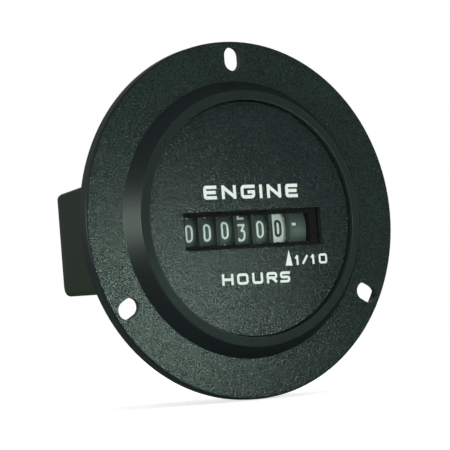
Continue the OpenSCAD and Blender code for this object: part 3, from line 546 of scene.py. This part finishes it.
printed = []
for foot, height, weight, lean, signs in LEGENDS:
    flat, faces = gather([sign(mark, left, foot, width, height, weight) for mark, left, width in signs])
    printed.append((leaning(flat, foot + height / 2, lean), faces))
printed.append(stroke(np.array([POINTER_FOOT, POINTER_TIP]), np.array([POINTER_FOOT_W, POINTER_TIP_W])))
flat, faces = gather(printed)
mesh_piece("face_legends", on_face(flat, FACE_Y), faces, pale_ink, "housing")


# Camera, fitted to the photograph: azimuth, elevation and roll in degrees, distance in millimetres,
# focal length and place of the origin in pixels of a 450-pixel frame.

AZIMUTH, ELEVATION, ROLL, DISTANCE = -32.04, -3.16, 4.64, 434.0
FOCAL_PX, ORIGIN_X_PX, ORIGIN_Y_PX, FRAME_PX = 2185.9, 13.55, -4.5, 450
SENSOR = 36.0

azimuth, elevation, roll = (math.radians(degrees) for degrees in (AZIMUTH, ELEVATION, ROLL))
back = Vector((math.sin(azimuth) * math.cos(elevation), -math.cos(azimuth) * math.cos(elevation),
               math.sin(elevation)))
level = (-back).cross(Vector((0, 0, 1))).normalized()
upright = level.cross(-back)
right_axis = math.cos(roll) * level - math.sin(roll) * upright
up_axis = math.sin(roll) * level + math.cos(roll) * upright
aim = (-back - right_axis * (ORIGIN_X_PX / FOCAL_PX) + up_axis * (ORIGIN_Y_PX / FOCAL_PX)).normalized()
right_axis = aim.cross(up_axis).normalized()
up_axis = right_axis.cross(aim)
facing = Matrix((right_axis, up_axis, -aim)).transposed().to_4x4()

camera_data = bpy.data.cameras.new("camera")
camera_data.sensor_width = SENSOR
camera_data.lens = FOCAL_PX / FRAME_PX * SENSOR
camera = bpy.data.objects.new("camera", camera_data)
bpy.context.collection.objects.link(camera)
camera.matrix_world = Matrix.Translation(back * DISTANCE * MM) @ facing
bpy.context.scene.camera = camera


# Studio lamps: a soft box at the left and a small lamp in front, both tinted a little green.

def lamp(name, place, target, size, radiance, colour):
    """A rectangular lamp of a given radiance, out of the camera's sight, at a place in millimetres."""
    data = bpy.data.lights.new(name, "AREA")
    data.shape = "RECTANGLE"
    data.size, data.size_y = size[0] * MM, size[1] * MM
    data.energy = radiance * math.pi * data.size * data.size_y
    data.color = linear(colour)[:3]
    made = bpy.data.objects.new(name, data)
    bpy.context.collection.objects.link(made)
    place, target = Vector(place) * MM, Vector(target) * MM
    turned = (target - place).to_track_quat("-Z", "Y").to_matrix().to_4x4()
    made.matrix_world = Matrix.Translation(place) @ turned
    made.visible_camera = False


lamp("left_soft_box", place=(-270, -55, 18), target=(-20, 0, 0), size=(70, 110), radiance=7.5,
     colour="#eafff0")
lamp("front_lamp", place=(54, -150, -17), target=(-26, -5, -20), size=(14, 14), radiance=55.0,
     colour="#e2fff0")


# Studio floor: pale and matt, just under the flange. It glows for the camera, so that it meets the
# white background, and is grey in reflections, so that the flange's edge stays dark.

FLOOR_GAP, FLOOR_REACH, FLOOR_GLOW = 0.05, 3000.0, 0.5

floor_finish, tree, _, shader = new_finish("pale_studio_floor", Roughness=0.9)
path = add(tree, "LightPath")
tone = add(tree, "Mix", {"Factor": path.outputs["Is Glossy Ray"], "A": linear("#f4f4f4"),
                         "B": linear("#686a69")}, data_type="RGBA")
tree.links.new(tone.outputs["Result"], shader.inputs["Base Color"])
seen = add(tree, "Math", {0: path.outputs["Is Camera Ray"], 1: FLOOR_GLOW}, operation="MULTIPLY")
glow = add(tree, "Emission", {"Strength": seen.outputs[0]})
both = add(tree, "AddShader", {0: shader.outputs["BSDF"], 1: glow.outputs["Emission"]})
tree.links.new(both.outputs[0], tree.nodes["Material Output"].inputs["Surface"])

floor_z = cad_box[0][2] / MM - FLOOR_GAP
floor_corners = np.array([[-1, -1], [1, -1], [1, 1], [-1, 1]]) * FLOOR_REACH
floor = bpy.data.objects.new("studio_floor", bpy.data.meshes.new("studio_floor"))
floor.data.from_pydata([(x * MM, y * MM, floor_z * MM) for x, y in floor_corners], [], [(0, 1, 2, 3)])
floor.data.materials.append(floor_finish)
bpy.context.collection.objects.link(floor)


# Studio room: white for the camera and bright for diffuse light. What mirrors it straight sees a dim
# room, with a darker ceiling and a dark card where the face's reflections go.

ROOM_LEVEL, MIRRORED_LEVEL, CARD_LEVEL, CEILING_SHARE = 0.88, 0.25, 0.06, 0.5
CARD_HEADING, CARD_START, CARD_FULL = (0.49, -0.87, 0.01), 0.55, 0.9
CEILING_START, CEILING_FULL = 0.4, 0.8

world = bpy.data.worlds.new("studio")
bpy.context.scene.world = world
world.use_nodes = True
tree = world.node_tree
path = add(tree, "LightPath")
heading = add(tree, "TexCoord").outputs["Generated"]
height = add(tree, "SeparateXYZ", {"Vector": heading}).outputs["Z"]
ahead = add(tree, "VectorMath", {0: heading, 1: CARD_HEADING}, operation="DOT_PRODUCT")
card = add(tree, "MapRange", {"Value": ahead.outputs["Value"], "From Min": CARD_START,
                              "From Max": CARD_FULL, "To Min": MIRRORED_LEVEL, "To Max": CARD_LEVEL},
           interpolation_type="SMOOTHSTEP")
ceiling = add(tree, "MapRange", {"Value": height, "From Min": CEILING_START, "From Max": CEILING_FULL,
                                 "To Min": 1.0, "To Max": CEILING_SHARE})
mirrored = add(tree, "Math", {0: card.outputs["Result"], 1: ceiling.outputs["Result"]},
               operation="MULTIPLY")
straight = add(tree, "Math", {0: path.outputs["Is Glossy Ray"], 1: path.outputs["Diffuse Depth"]},
               operation="SUBTRACT", use_clamp=True)
room = add(tree, "Mix", {"Factor": straight.outputs[0], "A": ROOM_LEVEL, "B": mirrored.outputs[0]})
overall = add(tree, "Mix", {"Factor": path.outputs["Is Camera Ray"], "A": room.outputs["Result"], "B": 1.0})
background = tree.nodes["Background"]
background.inputs["Color"].default_value = linear("#ffffff")
tree.links.new(overall.outputs["Result"], background.inputs["Strength"])

bpy.context.scene.view_settings.view_transform = "Standard"
